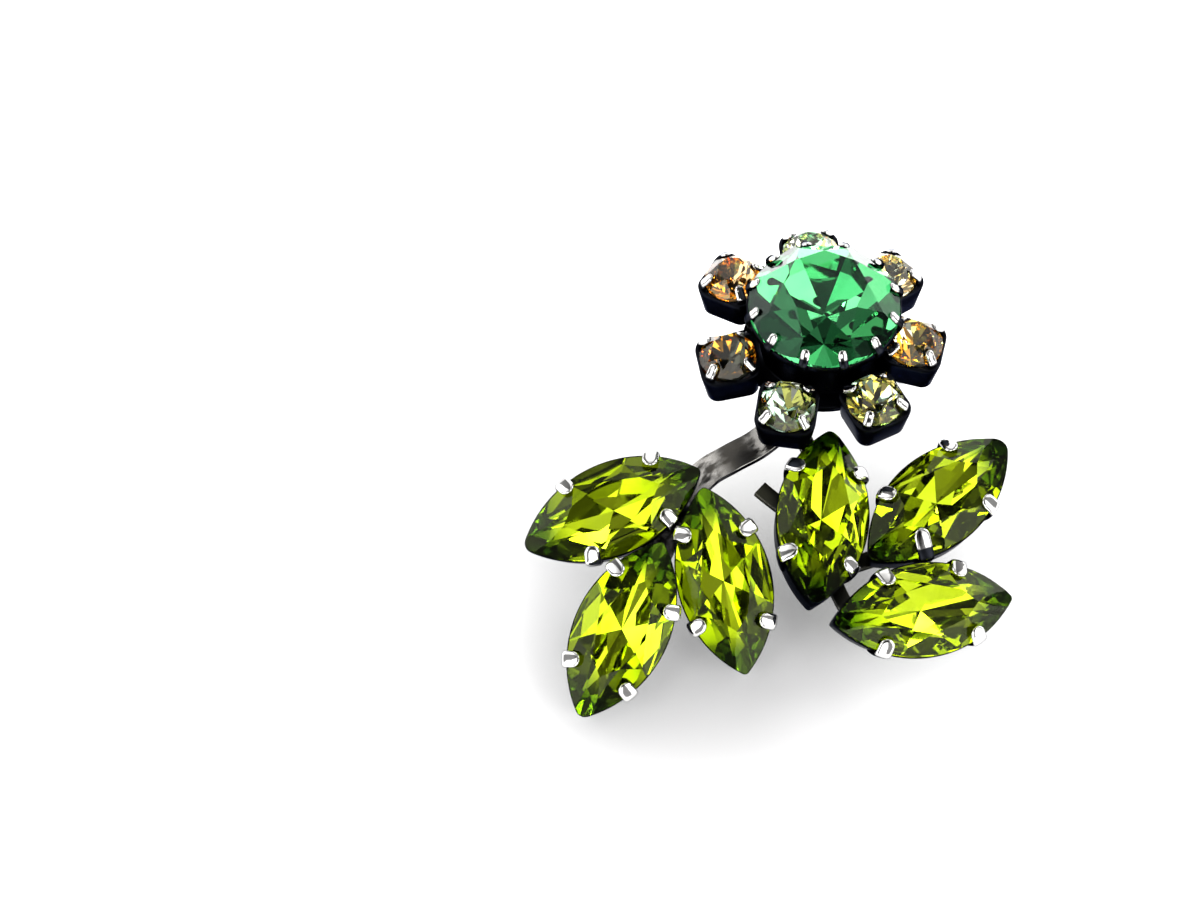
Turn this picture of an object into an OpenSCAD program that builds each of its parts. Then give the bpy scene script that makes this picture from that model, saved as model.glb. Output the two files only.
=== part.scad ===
// Flower brooch: one flower and two sprays of three leaves, as it lies on its leaf tips and its pin.

/* [Leaves] */
// Length of a leaf stone from tip to tip
leaf_length = 15; // [14.6:0.1:15.2]
// Width of a leaf stone
leaf_width = 7.3; // [6.9:0.1:7.4]
// Height of a leaf stone's cut top above its edge
leaf_crown = 1.3; // [1:0.05:1.4]
// Depth of a leaf stone below its edge
leaf_pavilion = 2.1; // [1.8:0.05:2.15]
// Depth of a leaf cup below the stone's edge
leaf_cup_depth = 2.75; // [2.7:0.05:2.9]

/* [Flower] */
// Diameter of the large stone
flower_stone_d = 12; // [11.6:0.1:12.1]
// Height of the large stone's cut top above its edge
flower_crown = 3; // [2.4:0.1:3.2]
// Depth of the large stone below its edge
flower_pavilion = 4.2; // [3.8:0.1:4.3]
// Height of the large stone's edge above the petals' edges
flower_rise = 2.6; // [2.5:0.05:2.8]
// Diameter of a petal stone
petal_stone_d = 4.5; // [4.2:0.1:4.6]
// Height of a petal stone's cut top above its edge
petal_crown = 1.3; // [1:0.1:1.4]
// Depth of a petal stone below its edge
petal_pavilion = 1.75; // [1.5:0.05:1.8]
// Width of a petal's square cup at its rim
petal_cup_w = 4.9; // [4.8:0.05:5.1]
// Depth of the flower's cups below the petals' edges
petal_cup_depth = 2.9; // [2.85:0.05:3]
// Angle by which the flower leans back from level
flower_lean = 10.5; // [9.5:0.5:11]
// Height of the ring of petal edges above the ground, at its middle
flower_z = 7.67; // [7.6:0.01:7.8]

/* [Metal] */
// Thickness of a cup's floor
cup_floor = 0.45; // [0.4:0.05:0.5]
// Thickness of a prong
prong_t = 0.38; // [0.34:0.02:0.42]
// Width of a leaf prong
leaf_prong_w = 1.15; // [1:0.05:1.3]
// Width of a petal prong
petal_prong_w = 0.85; // [0.7:0.05:0.9]
// Width of a prong on the large stone
flower_prong_w = 0.7; // [0.6:0.05:0.9]
// Number of prongs on the large stone
flower_prongs = 12; // [10:1:12]
// Width of the stem strip
stem_w = 2.4; // [2.2:0.1:2.6]
// Thickness of the stem strip
stem_t = 0.65; // [0.5:0.05:0.8]
// Width of the cross strip
cross_w = 1.3; // [1.1:0.1:1.5]

/* [Pin back] */
// Length of the pin back
pin_l = 16.5; // [16:0.5:17]
// Width of the pin back's bar
pin_bar_w = 1.8; // [1.6:0.1:2]
// Thickness of the pin back's bar
pin_bar_t = 0.7; // [0.6:0.05:0.8]
// Diameter of the needle
needle_d = 0.9; // [0.8:0.05:1]
// Diameter of the knuckle and of the catch
knuckle_d = 2; // [1.8:0.1:2.2]
// How far behind the flower's middle the pin back lies
pin_back_y = 0.5; // [0.3:0.1:0.7]

/* [Hidden] */

metal_colour = "#4b4a4d";
leaf_colour = "#8fb000";
flower_colour = "#0b8a3c";
petal_colour = "#a8a58c";

// Columns of the leaf table: middle of the stone's edge, its turn, and the places of its four prongs
AT = 0;
TURN = 1;
PRONGS = 2;

// One row a leaf. Leaves 1 to 3 are the left spray and 4 to 6 the right one. The turn is roll, pitch
// and yaw. A prong is a distance along the leaf from its middle, and the side it stands on.
LEAVES = [
    [[-12.24, -4.54, 6.5], [-9, 9, -158], [[2.8, -1], [-4.4, -1], [-3.8, 1], [3, 1]]],
    [[-11.54, -14.14, 4.98], [-10, 20, -117], [[-4.2, -1], [-2.9, 1], [3.9, -1], [4.3, 1]]],
    [[-3.54, -10.24, 5.4], [4, 22, -76], [[-4.3, -1], [-3.7, 1], [3.1, -1], [3.9, 1]]],
    [[4.26, -4.84, 5.7], [10, 1, 84], [[3.8, 1], [4, -1], [-3.9, 1], [-4.2, -1]]],
    [[13.36, -3.24, 5.2], [6, 2, 43], [[-3, 1], [3.8, 1], [-3.9, -1], [2.8, -1]]],
    [[12.06, -12.24, 4.3], [20, 13, 14], [[-3, 1], [3.3, 1], [-4, -1], [4, -1]]],
];

// Columns of the petal table: angle round the flower, distance from its middle, turn of the square cup
ROUND = 0;
OUT = 1;
SQUARE_TURN = 2;
PETALS = [
    [96, 7.4, 0],
    [146, 8.5, 4],
    [202, 8.2, -12],
    [249, 8.5, 12],
    [298, 8.3, 0],
    [347, 7.4, 0],
    [43, 7.35, -6],
];

// Middle of the flower on the ground plan, and the angle by which petals tip outward
flower_at = [4.49, 10.83];
petal_tip = 5;

// Where the strips behind the left spray meet
spray_hub = [-6.94, -3.34, 4.2];

// Half thickness of a stone's edge band, gap left round each stone, and how far joined metal laps
edge_h = 0.12;
gap = 0.08;
lap = 0.15;

// Height of a cup's rim against the stone's edge
rim_z = -edge_h - 0.14;

// How far a well is cut past the rim it opens at, as a share of its depth
well_past = 1.01;

// A cut stone: the share of its width that the table takes, how far up the crown and down the
// underside the kites' side corners lie, and the points round its edge
table_share = 0.55;
crown_kite = 0.55;
pavilion_kite = 0.72;
girdle_points = 16;
step = 360 / girdle_points;
crown_share = (1 - crown_kite * (1 - table_share)) / cos(step);
pavilion_share = (1 - pavilion_kite) / cos(step);

half_l = leaf_length / 2;
half_w = leaf_width / 2;
flower_r = flower_stone_d / 2;
petal_r = petal_stone_d / 2;

// By how much the two arcs of a pointed oval run on past its blunt tips
nose = 0.2;

// Radius of the arcs that bound a pointed oval of half length a and half width b
function arc_r(a, b) = (pow(a + nose, 2) + b * b) / (2 * b);

// Half width of a pointed oval at distance x along it, closed at its tips
function oval_y(a, b, x) = abs(x) > a - 0.001 ? 0 : sqrt(pow(arc_r(a, b), 2) - x * x) - (arc_r(a, b) - b);

// Point on a stone's edge at an angle: a pointed oval where a and b differ, else a circle
function edge_point(a, b, angle) =
    a == b ? [a * cos(angle), a * sin(angle)]
    : [a * cos(angle), sign(sin(angle)) * oval_y(a, b, a * cos(angle))];

// Ring of count points at a share of the edge's size and at a height, from a first angle
function ring(a, b, share, z, count, first) =
    [for (i = [0:count - 1])
        let (p = edge_point(a, b, first + i * 360 / count))
        [p[0] * share, p[1] * share, z]];

// A cut stone with its edge on z = 0: an eight-sided table, stars, kites, an edge band and a culet
module cut_stone(a, b, crown, pavilion) {
    points = concat(
        ring(a, b, table_share, crown, 8, 0),
        ring(a, b, crown_share, edge_h + crown_kite * (crown - edge_h), 8, step),
        ring(a, b, 1, edge_h, girdle_points, 0),
        ring(a, b, 1, -edge_h, girdle_points, 0),
        ring(a, b, pavilion_share, -edge_h - pavilion_kite * (pavilion - edge_h), 8, step),
        [[0, 0, -pavilion]]);
    // Where each ring starts in the list of points
    mid = 8;
    top = 16;
    low = 32;
    deep = 48;
    culet = 56;
    table = [[for (i = [7:-1:0]) i]];
    eighths = [for (i = [0:7])
        let (before = (i + 7) % 8, on = 2 * i, half = 2 * i + 1, next = (2 * i + 2) % 16)
        [
            [i, (i + 1) % 8, mid + i],
            [top + on, mid + before, i],
            [mid + i, top + on, i],
            [top + half, top + on, mid + i],
            [top + next, top + half, mid + i],
            [culet, deep + before, low + on],
            [culet, low + on, deep + i],
            [deep + i, low + on, low + half],
            [deep + i, low + half, low + next],
        ]];
    band = [for (i = [0:15]) [top + i, top + (i + 1) % 16, low + (i + 1) % 16, low + i]];
    polyhedron(points, concat(table, band, [for (e = eighths) for (f = e) f]));
}

// Outline of a pointed oval, count points to each of its two arcs
module oval(a, b, count) {
    polygon([for (i = [0:2 * count - 1])
        let (x = a * cos(i * 180 / count))
        [x, (i < count ? 1 : -1) * oval_y(a, b, x)]]);
}

// Height of a stone's cut top at an inset from its edge, for a stone of half width w
function crown_height(inset, w, crown) =
    let (knee_in = (1 - crown_share) * w,
        knee_z = edge_h + crown_kite * (crown - edge_h),
        table_in = (1 - table_share * cos(step)) * w)
    inset < knee_in ? edge_h + inset / knee_in * (knee_z - edge_h)
    : knee_z + (inset - knee_in) / (table_in - knee_in) * (crown - knee_z);

// A prong that stands on a cup's wall at the stone's edge and folds over its cut top.
// It is drawn with the stone's edge at the origin and the stone towards -X.
module prong(width, reach, foot, w, crown) {
    bend = reach * 0.6;
    bend_z = crown_height(bend, w, crown) + gap;
    tip_z = crown_height(reach, w, crown) + gap;
    foot_in = -foot * 0.3;
    foot_out = 0.1;
    shoulder_t = prong_t * 0.85;
    nose_cut = prong_t * 0.3;
    rotate([90, 0, 0])
        linear_extrude(width, center = true)
            polygon([
                [foot_in, -foot],
                [foot_out, -foot],
                [gap + prong_t, edge_h],
                [gap + shoulder_t, edge_h + 2 * gap],
                [-bend + prong_t / 2, bend_z + shoulder_t],
                [-reach + nose_cut, tip_z + prong_t],
                [-reach, tip_z + prong_t - nose_cut],
                [-reach, tip_z],
                [-bend, bend_z],
                [gap, edge_h + gap],
                [gap * 0.8, rim_z - gap],
            ]);
}

// Cup of a leaf: a tapered wall round the stone's underside on a closed floor, with four prongs
module leaf_cup(prongs) {
    lip = 0.4;
    back_l = half_l - 0.4;
    back_w = half_w - 0.3;
    rim_out = 0.1;
    rim_in = 0.12;
    well_l = half_l - 2.1;
    well_w = half_w - 1.25;
    well_h = leaf_cup_depth + rim_z - cup_floor;
    difference() {
        hull() {
            translate([0, 0, -leaf_cup_depth])
                linear_extrude(lip)
                    oval(back_l, back_w, 9);
            translate([0, 0, rim_z - lip])
                linear_extrude(lip)
                    oval(half_l + rim_out, half_w + rim_out, 9);
        }
        translate([0, 0, -leaf_cup_depth + cup_floor])
            linear_extrude(well_h * well_past, scale = [(half_l - rim_in) / well_l, (half_w - rim_in) / well_w])
                oval(well_l, well_w, 9);
    }
    centre = arc_r(half_l, half_w) - half_w;
    for (p = prongs) {
        y = oval_y(half_l, half_w, p[0]);
        angle = atan2(y + centre, p[0]);
        translate([p[0], p[1] * y, 0])
            rotate([0, 0, p[1] * angle])
                prong(leaf_prong_w, 0.9, 1.9, half_w, leaf_crown);
    }
}

// Square cup of a petal with rounded corners, a round well and a prong at each corner
module petal_cup() {
    corner_r = 1.25;
    back_shrink = 0.35;
    height = petal_cup_depth + rim_z;
    corner_at = petal_cup_w / 2 - corner_r;
    well_h = height - cup_floor;
    well_r_low = petal_r - 0.75;
    well_r_rim = petal_r - 0.08;
    difference() {
        hull()
            for (x = [-1, 1], y = [-1, 1])
                translate([x * corner_at, y * corner_at, -petal_cup_depth])
                    cylinder(h = height, r1 = corner_r - back_shrink, r2 = corner_r, $fn = 16);
        translate([0, 0, -petal_cup_depth + cup_floor])
            cylinder(h = well_h * well_past, r1 = well_r_low, r2 = well_r_rim, $fn = 20);
    }
    for (q = [45:90:315])
        rotate([0, 0, q])
            translate([petal_r, 0, 0])
                prong(petal_prong_w, 0.6, 1.4, petal_r, petal_crown);
}

// Round cup of the large stone on the plate that carries the petals, with prongs all round it
module flower_cup() {
    depth = petal_cup_depth + flower_rise;
    neck_r = flower_r - 1.05;
    rim_r = flower_r + 0.15;
    plate_r = flower_r + 0.4;
    plate_z = 0.7 - depth;
    well_r_low = flower_r - 3;
    well_r_mid = neck_r - 0.6;
    well_r_rim = flower_r - 0.1;
    flare_low = -1.5;
    flare_high = -0.6;
    first_prong = 12.7;
    rotate_extrude($fn = 36)
        polygon([
            [0, -depth],
            [plate_r, -depth],
            [plate_r, plate_z],
            [neck_r, plate_z],
            [neck_r, flare_low],
            [rim_r, flare_high],
            [rim_r, rim_z],
            [well_r_rim, rim_z],
            [well_r_mid, flare_low],
            [well_r_low, cup_floor - depth],
            [0, cup_floor - depth],
        ]);
    for (i = [0:flower_prongs - 1])
        rotate([0, 0, first_prong + i * 360 / flower_prongs])
            translate([flower_r, 0, 0])
                prong(flower_prong_w, 0.6, 0.9, flower_r, flower_crown);
}

// Places what it holds on a leaf's row
module on_leaf(row) {
    translate(row[AT])
        rotate(row[TURN])
            children();
}

// Places what it holds on the flower's ring of petal edges, as it leans
module on_flower() {
    translate([flower_at[0], flower_at[1], flower_z])
        rotate([-flower_lean, 0, 0])
            children();
}

// Places what it holds on a petal's row, inside the flower
module on_petal(row) {
    rotate([0, 0, row[ROUND]])
        translate([row[OUT], 0, 0])
            rotate([0, petal_tip, row[SQUARE_TURN]])
                children();
}

// Turns a vector by roll, pitch and yaw
function turned(v, t) =
    let (a = [v[0], v[1] * cos(t[0]) - v[2] * sin(t[0]), v[1] * sin(t[0]) + v[2] * cos(t[0])],
        b = [a[0] * cos(t[1]) + a[2] * sin(t[1]), a[1], -a[0] * sin(t[1]) + a[2] * cos(t[1])])
    [b[0] * cos(t[2]) - b[1] * sin(t[2]), b[0] * sin(t[2]) + b[1] * cos(t[2]), b[2]];

// Point on the back of a leaf's cup, at a distance along the leaf from its middle
function leaf_back(row, along) = row[AT] + turned([along, 0, -leaf_cup_depth - lap], row[TURN]);

// Point under the flower's cups, in the flower's own plan
function flower_back(x, y) =
    [flower_at[0], flower_at[1], flower_z] + turned([x, y, -petal_cup_depth - lap], [-flower_lean, 0, 0]);

// Corners of a strip's section at one of its points, square to the way the strip runs there
function strip_corners(points, i, width, thickness) =
    let (last = len(points) - 1,
        d = points[min(i + 1, last)] - points[max(i - 1, 0)],
        side = cross([0, 0, 1], d) / norm(cross([0, 0, 1], d)),
        up = cross(d, side) / norm(d))
    [for (c = [[-1, -1], [1, -1], [1, 1], [-1, 1]])
        points[i] + side * c[0] * width / 2 + up * c[1] * thickness / 2];

// Flat strip through a list of points, square at its ends
module strip(points, width, thickness) {
    last = len(points) - 1;
    corners = [for (i = [0:last]) for (c = strip_corners(points, i, width, thickness)) c];
    walls = [for (i = [0:last - 1]) for (k = [0:3])
        let (a = 4 * i + k, b = 4 * i + (k + 1) % 4)
        for (f = [[b, a, a + 4], [b, a + 4, b + 4]]) f];
    end = 4 * last;
    polyhedron(corners, concat(walls, [[0, 1, 2], [0, 2, 3], [end, end + 2, end + 1], [end, end + 3, end + 2]]));
}

module frame() {
    color(metal_colour) {
        for (row = LEAVES)
            on_leaf(row)
                leaf_cup(row[PRONGS]);
        on_flower() {
            translate([0, 0, flower_rise])
                flower_cup();
            for (row = PETALS)
                on_petal(row)
                    petal_cup();
        }
        // Stem from under the fourth petal, arched down to the left spray and on behind its middle leaf
        strip([flower_back(-2.4, -6.5), [-0.64, 1.66, 5.35], [-2.94, 0.16, 5.6], [-5.04, -1.04, 5.1], spray_hub,
            leaf_back(LEAVES[1], -4), leaf_back(LEAVES[1], 1)], stem_w, stem_t);
        // Strip behind the outer two leaves of the left spray
        strip([leaf_back(LEAVES[0], 0), leaf_back(LEAVES[0], -3), spray_hub,
            leaf_back(LEAVES[2], -4), leaf_back(LEAVES[2], 0)], stem_w, stem_t);
        // Cross strip of the right spray, with its square end in sight left of the fourth leaf
        strip([[-0.59, -1.39, 3.3], [3.36, -5.09, 2.75], leaf_back(LEAVES[5], -4.5), leaf_back(LEAVES[5], 1)],
            cross_w, stem_t);
        // Strips from the flower down the back of the fourth leaf, and across to the fifth
        strip([flower_back(-2.4, -6.5), leaf_back(LEAVES[3], 4), leaf_back(LEAVES[3], -4)], cross_w, stem_t);
        strip([leaf_back(LEAVES[3], -4), leaf_back(LEAVES[4], -5), leaf_back(LEAVES[4], 1)], cross_w, stem_t);
    }
}

// Bar, knuckle, needle and catch, all in the flower's lean so that the bar lies against the cups
module pin_back() {
    drop = (flower_z - knuckle_d / 2) / cos(flower_lean) - pin_back_y * tan(flower_lean);
    bar_top = petal_cup_depth + gap + sin(petal_tip) * petal_cup_w / 2;
    lug_l = 2;
    lug_w = 1.8;
    end_x = (pin_l - lug_l) / 2;
    color(metal_colour)
        on_flower()
            translate([0, pin_back_y, 0]) {
                translate([0, 0, -bar_top - pin_bar_t / 2])
                    cube([pin_l, pin_bar_w, pin_bar_t], center = true);
                for (side = [-1, 1]) {
                    translate([side * end_x, 0, -(bar_top + drop) / 2])
                        cube([lug_l, lug_w, drop - bar_top], center = true);
                    translate([side * end_x, 0, -drop])
                        rotate([0, 90, 0])
                            cylinder(h = lug_l, d = knuckle_d, center = true, $fn = 24);
                }
                translate([0, 0, -drop])
                    rotate([0, 90, 0])
                        cylinder(h = pin_l - lug_l, d = needle_d, center = true, $fn = 16);
            }
}

module flower_stone() {
    color(flower_colour)
        on_flower()
            translate([0, 0, flower_rise])
                cut_stone(flower_r, flower_r, flower_crown, flower_pavilion);
}

module petal_stone(row) {
    color(petal_colour)
        on_flower()
            on_petal(row)
                cut_stone(petal_r, petal_r, petal_crown, petal_pavilion);
}

module leaf_stone(row) {
    color(leaf_colour)
        on_leaf(row)
            cut_stone(half_l, half_w, leaf_crown, leaf_pavilion);
}

frame();
pin_back();
flower_stone();
petal_stone(PETALS[0]);  // petal_stone_1
petal_stone(PETALS[1]);  // petal_stone_2
petal_stone(PETALS[2]);  // petal_stone_3
petal_stone(PETALS[3]);  // petal_stone_4
petal_stone(PETALS[4]);  // petal_stone_5
petal_stone(PETALS[5]);  // petal_stone_6
petal_stone(PETALS[6]);  // petal_stone_7
leaf_stone(LEAVES[0]);  // leaf_stone_1
leaf_stone(LEAVES[1]);  // leaf_stone_2
leaf_stone(LEAVES[2]);  // leaf_stone_3
leaf_stone(LEAVES[3]);  // leaf_stone_4
leaf_stone(LEAVES[4]);  // leaf_stone_5
leaf_stone(LEAVES[5]);  // leaf_stone_6
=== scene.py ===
import random
from collections import namedtuple
from math import atan2, cos, pi, radians, sin, sqrt, tan

import bmesh
import bpy
from mathutils import Matrix, Vector, geometry


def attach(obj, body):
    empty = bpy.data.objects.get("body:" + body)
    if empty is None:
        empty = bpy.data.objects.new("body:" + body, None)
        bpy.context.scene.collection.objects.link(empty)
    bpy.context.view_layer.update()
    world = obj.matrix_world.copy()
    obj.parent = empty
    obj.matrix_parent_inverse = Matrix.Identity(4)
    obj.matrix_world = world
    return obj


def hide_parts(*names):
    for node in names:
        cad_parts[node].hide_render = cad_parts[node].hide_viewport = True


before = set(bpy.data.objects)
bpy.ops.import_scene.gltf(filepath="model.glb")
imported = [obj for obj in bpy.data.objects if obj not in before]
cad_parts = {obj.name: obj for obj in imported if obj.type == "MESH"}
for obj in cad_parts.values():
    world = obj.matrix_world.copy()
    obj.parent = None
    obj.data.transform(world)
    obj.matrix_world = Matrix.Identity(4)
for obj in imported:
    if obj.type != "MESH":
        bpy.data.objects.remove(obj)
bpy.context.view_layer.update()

# Leaf stones: six pointed ovals of olive glass, each ground with a table, eight kites and eight stars above
# and eight long facets below, which are silvered with a mirror foil. They drop into their cups from above and
# the prongs hold them.
MM = 0.001
LEAF_LENGTH = 14.82
LEAF_WIDTH = 7.3
LEAF_CROWN = 1.3
LEAF_PAVILION = 2.1
EDGE_H = 0.12
TABLE_SHARE = 0.55
CROWN_KNEE = 0.55
PAVILION_KNEE = 0.72
MAINS = 8
RIM_POINTS = 72
RIM_STEP = 0.5
NEAR = 0.002
# Material slots of a stone
GLASS, FOIL = 0, 1
half_l = LEAF_LENGTH / 2
half_w = LEAF_WIDTH / 2
main_turn = 360 / MAINS

# A leaf: middle of its edge, its roll, pitch and yaw, the radii of its two tips, and the draw that gives
# each facet of its foil one of the foil's tints
Leaf = namedtuple("Leaf", "middle turns tips draw")
LEAVES = {
    "leaf_1": Leaf(middle=(-12.24, -4.54, 6.5), turns=(-9, 9, -158), tips=(0.7, 0.35), draw=23),
    "leaf_2": Leaf(middle=(-11.54, -14.14, 4.98), turns=(-10, 20, -117), tips=(0.7, 0.3), draw=13),
    "leaf_3": Leaf(middle=(-3.54, -10.24, 5.4), turns=(4, 22, -76), tips=(0.3, 0.4), draw=41),
    "leaf_4": Leaf(middle=(4.26, -4.84, 5.7), turns=(10, 1, 84), tips=(0.5, 0.75), draw=6),
    "leaf_5": Leaf(middle=(13.36, -3.24, 5.2), turns=(6, 2, 43), tips=(0.9, 0.6), draw=59),
    "leaf_6": Leaf(middle=(12.06, -12.24, 4.3), turns=(20, 13, 14), tips=(0.3, 0.6), draw=60),
}


def turn_about(roll, pitch, yaw):
    return (Matrix.Rotation(radians(yaw), 4, "Z") @ Matrix.Rotation(radians(pitch), 4, "Y")
            @ Matrix.Rotation(radians(roll), 4, "X"))


def leaf_place(row):
    return Matrix.Translation(row.middle) @ turn_about(*row.turns)


def oval_half_width(a, b, tip, x):
    """Half width at x of a pointed oval whose two arcs run into round tips of one radius."""
    arc = ((a - tip) ** 2 + b * b - tip * tip) / (2 * (b - tip))
    tip_at = a - tip
    meets = tip_at * arc / (arc - tip)
    if abs(x) > meets:
        return sqrt(max(0.0, tip * tip - (abs(x) - tip_at) ** 2))
    return sqrt(arc * arc - x * x) - (arc - b)


def oval_edge(a, b, tips):
    """Function from an angle to the point on the edge; tips holds the radii at +X and at -X."""
    def point(angle):
        x = a * cos(radians(angle))
        tip = tips[0] if x > 0 else tips[1]
        return Vector((x, oval_half_width(a, b, tip, x) * (1 if sin(radians(angle)) >= 0 else -1), 0))
    return point


def round_edge(radius):
    return lambda angle: Vector((radius * cos(radians(angle)), radius * sin(radians(angle)), 0))


def plane_through(a, b, c):
    """Plane through three points, as a point and a normal that looks away from the stone's middle."""
    normal = (b - a).cross(c - a).normalized()
    return a, normal if normal.dot(a) > 0 else -normal


def meeting_point(first, second, z):
    """Point where two planes meet at a height."""
    start, way = geometry.intersect_plane_plane(*first, *second)
    return start + way * (z - start.z) / way.z


def facet_planes(edge, crown, pavilion, halves):
    """Planes of the cut above and below the edge, as (point, normal, slot); halves names the slots that
    have small facets along the edge."""
    def at(angle, z, share=1.0):
        p = edge(angle) * share
        return Vector((p.x, p.y, z))

    def along_edge(angle):
        return edge(angle + RIM_STEP) - edge(angle - RIM_STEP)

    planes = []
    above = (EDGE_H, crown, CROWN_KNEE, TABLE_SHARE, GLASS)
    below = (-EDGE_H, -pavilion, PAVILION_KNEE, 0.0, FOIL)
    for z, peak, knee, inner, slot in (above, below):
        mains = []
        for i in range(MAINS):
            turn = main_turn * i
            rim = at(turn, z)
            mains.append(plane_through(rim, rim + along_edge(turn), at(turn, peak, inner)))
        for i in range(MAINS):
            turn = main_turn * i
            corner = meeting_point(mains[i], mains[(i + 1) % MAINS], z + knee * (peak - z))
            if slot == GLASS:
                star = plane_through(at(turn, peak, inner), at(turn + main_turn, peak, inner), corner)
                planes.append((*star, slot))
            for start in (turn, turn + main_turn / 2) if slot in halves else ():
                half = plane_through(at(start, z), at(start + main_turn / 2, z), corner)
                planes.append((*half, slot))
        planes += [(*main, slot) for main in mains]
    return planes


def put_in_scene(name, data):
    piece = bpy.data.objects.new(name, data)
    bpy.context.scene.collection.objects.link(piece)
    return piece


def cut_stone(name, edge, crown, pavilion, halves, place, materials, draw):
    """Grinds a stone from a straight-sided blank, one plane at a time; draw picks how its foil looks."""
    stone = bmesh.new()
    facet = stone.faces.layers.float.new("facet")
    rim = [edge(360 * (i + 0.5) / RIM_POINTS) for i in range(RIM_POINTS)]
    low = [stone.verts.new((p.x, p.y, -pavilion)) for p in rim]
    top = [stone.verts.new((p.x, p.y, crown)) for p in rim]
    for i in range(RIM_POINTS):
        j = (i + 1) % RIM_POINTS
        stone.faces.new((low[i], low[j], top[j], top[i]))
    stone.faces.new(top)
    stone.faces.new(low[::-1])
    drawn = random.Random(draw)
    for face in stone.faces:
        face[facet] = drawn.random()
    for point, normal, slot in facet_planes(edge, crown, pavilion, halves):
        bmesh.ops.bisect_plane(stone, geom=stone.verts[:] + stone.edges[:] + stone.faces[:], dist=NEAR,
                               plane_co=point, plane_no=normal, clear_outer=True)
        open_edges = [e for e in stone.edges if e.is_boundary]
        if not open_edges:
            continue
        for face in bmesh.ops.contextual_create(stone, geom=open_edges)["faces"]:
            face.material_index = slot
            face[facet] = drawn.random()
    bmesh.ops.remove_doubles(stone, verts=stone.verts[:], dist=NEAR)
    bmesh.ops.recalc_face_normals(stone, faces=stone.faces[:])
    along = stone.verts.layers.float.new("along")
    for point in stone.verts:
        point[along] = point.co.x / edge(0).x
    bmesh.ops.transform(stone, matrix=Matrix.Scale(MM, 4) @ place, verts=stone.verts[:])
    mesh = bpy.data.meshes.new(name)
    stone.to_mesh(mesh)
    stone.free()
    for material in materials:
        mesh.materials.append(material)
    return put_in_scene(name, mesh)


def new_material(name):
    """Material with one Principled shader; gives the material, its nodes, its links and the shader."""
    material = bpy.data.materials.new(name)
    material.use_nodes = True
    nodes = material.node_tree.nodes
    return material, nodes, material.node_tree.links, nodes["Principled BSDF"]


def new_effect(name, inputs, outputs):
    """Empty node group with named sockets, each given as its name and its kind."""
    effect = bpy.data.node_groups.new(name, "ShaderNodeTree")
    for side, sockets in (("INPUT", inputs), ("OUTPUT", outputs)):
        for socket, kind in sockets.items():
            effect.interface.new_socket(name=socket, in_out=side, socket_type="NodeSocket" + kind)
    given, gives = effect.nodes.new("NodeGroupInput"), effect.nodes.new("NodeGroupOutput")
    return effect, effect.nodes, effect.links, given, gives


def place_effect(effect, nodes, **values):
    """Puts an effect into a material with the material's own values."""
    node = nodes.new("ShaderNodeGroup")
    node.node_tree = effect
    for socket, value in values.items():
        node.inputs[socket].default_value = (*value, 1) if isinstance(value, tuple) else value
    return node


def math_node(nodes, links, operation, *values):
    """Math node; each value is a number or the socket that feeds it."""
    node = nodes.new("ShaderNodeMath")
    node.operation = operation
    for socket, value in zip(node.inputs, values):
        if isinstance(value, (int, float)):
            socket.default_value = value
        else:
            links.new(value, socket)
    return node.outputs["Value"]


def mix_node(nodes, links, factor, a, b, blend="MIX"):
    """Mix of two colours; each value is a colour, a number or the socket that feeds it."""
    node = nodes.new("ShaderNodeMix")
    node.data_type = "RGBA"
    node.blend_type = blend
    for socket, value in (("Factor", factor), ("A", a), ("B", b)):
        if isinstance(value, (int, float)):
            node.inputs[socket].default_value = value
        elif isinstance(value, tuple):
            node.inputs[socket].default_value = (*value, 1)
        else:
            links.new(value, node.inputs[socket])
    return node.outputs["Result"]


def attribute_node(nodes, name, output="Fac"):
    node = nodes.new("ShaderNodeAttribute")
    node.attribute_name = name
    return node.outputs[output]


def noise_node(nodes, links, vector, scale, detail):
    node = nodes.new("ShaderNodeTexNoise")
    node.inputs["Scale"].default_value = scale
    node.inputs["Detail"].default_value = detail
    links.new(vector, node.inputs["Vector"])
    return node.outputs["Fac"]


def range_node(nodes, links, value, old, new, smooth=False):
    """Carries a value from an old range into a new one and stops at the ends."""
    node = nodes.new("ShaderNodeMapRange")
    node.interpolation_type = "SMOOTHSTEP" if smooth else "LINEAR"
    for socket, number in zip(("From Min", "From Max", "To Min", "To Max"), (*old, *new)):
        if isinstance(number, (int, float)):
            node.inputs[socket].default_value = number
        else:
            links.new(number, node.inputs[socket])
    links.new(value, node.inputs["Value"])
    return node.outputs["Result"]


def bump_node(nodes, links, height, strength, distance):
    node = nodes.new("ShaderNodeBump")
    node.inputs["Strength"].default_value = strength
    node.inputs["Distance"].default_value = distance
    links.new(height, node.inputs["Height"])
    return node.outputs["Normal"]


# Foil behind a stone: each facet takes one of four tints, which give the stone its colour and also paint
# lighter and darker reflections facet by facet, and towards the tips another one takes over as painted shade
TINT_STARTS = (("Second", 0.3), ("Third", 0.55), ("Fourth", 0.8))
TIP_SHADE_FADE = 0.36
FOIL_ROUGHNESS = (0.01, 0.06)
facet_tints_and_painted_reflections, nodes, links, given, gives = new_effect(
    "facet_tints_and_painted_reflections",
    {"First": "Color", "Second": "Color", "Third": "Color", "Fourth": "Color", "Tips": "Color",
     "Tip_start": "Float"},
    {"Color": "Color", "Roughness": "Float"})
drawn = attribute_node(nodes, "facet")
tint = given.outputs["First"]
for name, start in TINT_STARTS:
    beyond = math_node(nodes, links, "GREATER_THAN", drawn, start)
    tint = mix_node(nodes, links, beyond, tint, given.outputs[name])
outward = math_node(nodes, links, "ABSOLUTE", attribute_node(nodes, "along"))
tip_shade_end = math_node(nodes, links, "ADD", given.outputs["Tip_start"], TIP_SHADE_FADE)
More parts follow.
